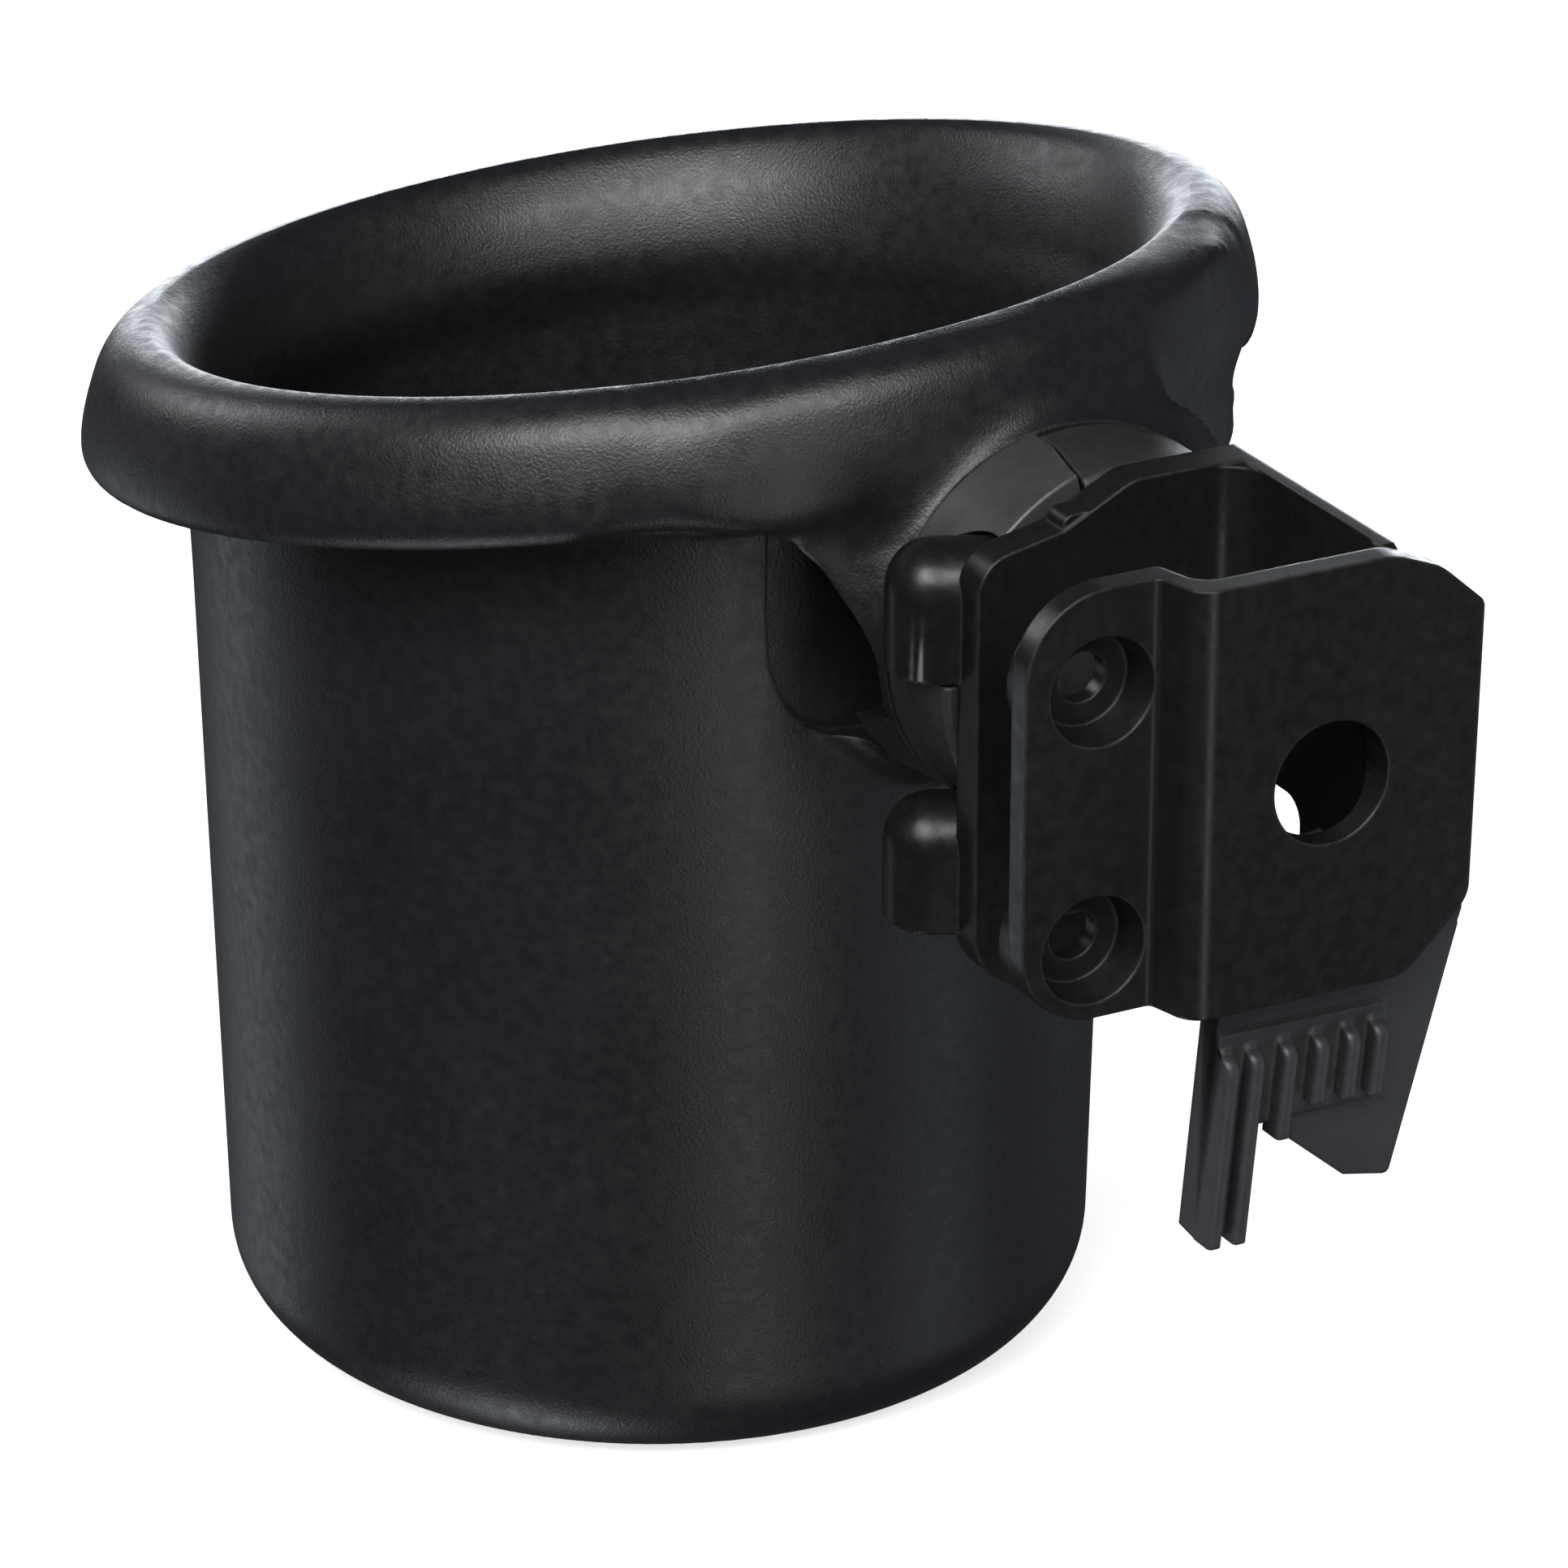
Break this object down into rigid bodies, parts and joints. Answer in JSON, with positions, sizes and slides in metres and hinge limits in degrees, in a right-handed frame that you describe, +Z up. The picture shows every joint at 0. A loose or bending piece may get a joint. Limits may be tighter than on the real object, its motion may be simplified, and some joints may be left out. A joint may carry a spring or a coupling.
{
  "type": "clamp-on cup holder",
  "caption": "Deep round cup holder with a tilted rolled rim, on a swivel hub with a C-shaped tube clamp and a ribbed release lever.",
  "frame": {"origin": "centre of the cup's flat base, on the underside", "axes": "+Z up along the cup's axis, +X towards the clamp and parallel to the swivel axis, +Y towards the clamp's closed wall"},
  "size_m": [0.1522, 0.1104, 0.116],
  "materials": {
    "cup_black": "satin moulded",
    "clamp_black": "satin moulded",
    "hub_black": "satin moulded",
    "latch_black": "smooth moulded",
    "lever_black": "satin moulded",
    "steel": "zinc plated",
    "spring_steel": "oiled spring wire",
    "brass": "turned",
    "rubber": "matt"
  },
  "bodies": {
    "cup": {"cup_body": "cup_black", "swivel_nut": "steel", "swivel_washer": "steel", "wave_washer": "spring_steel"},
    "clamp": {"swivel_hub": "hub_black", "latch_ring": "latch_black", "clamp_bracket": "clamp_black", "swivel_bolt": "steel", "detent_ball": "steel", "detent_spring": "spring_steel", "jaw_pad_back": "rubber", "jaw_pad_front": "rubber", "lever_pin": "steel", "lever_spring": "spring_steel", "insert_upper": "brass", "insert_lower": "brass"},
    "lever": {"release_lever": "lever_black"}
  },
  "joints": [
    {"name": "swivel", "type": "hinge", "parent": "cup", "child": "clamp", "pos_m": [0.0583, 0.012, 0.0892], "axis": [1, 0, 0], "continuous": true},
    {"name": "release_lever", "type": "hinge", "parent": "clamp", "child": "lever", "pos_m": [0.0924, 0.016, 0.0726], "axis": [0, 1, 0], "range_deg": [-6, 16]}
  ]
}
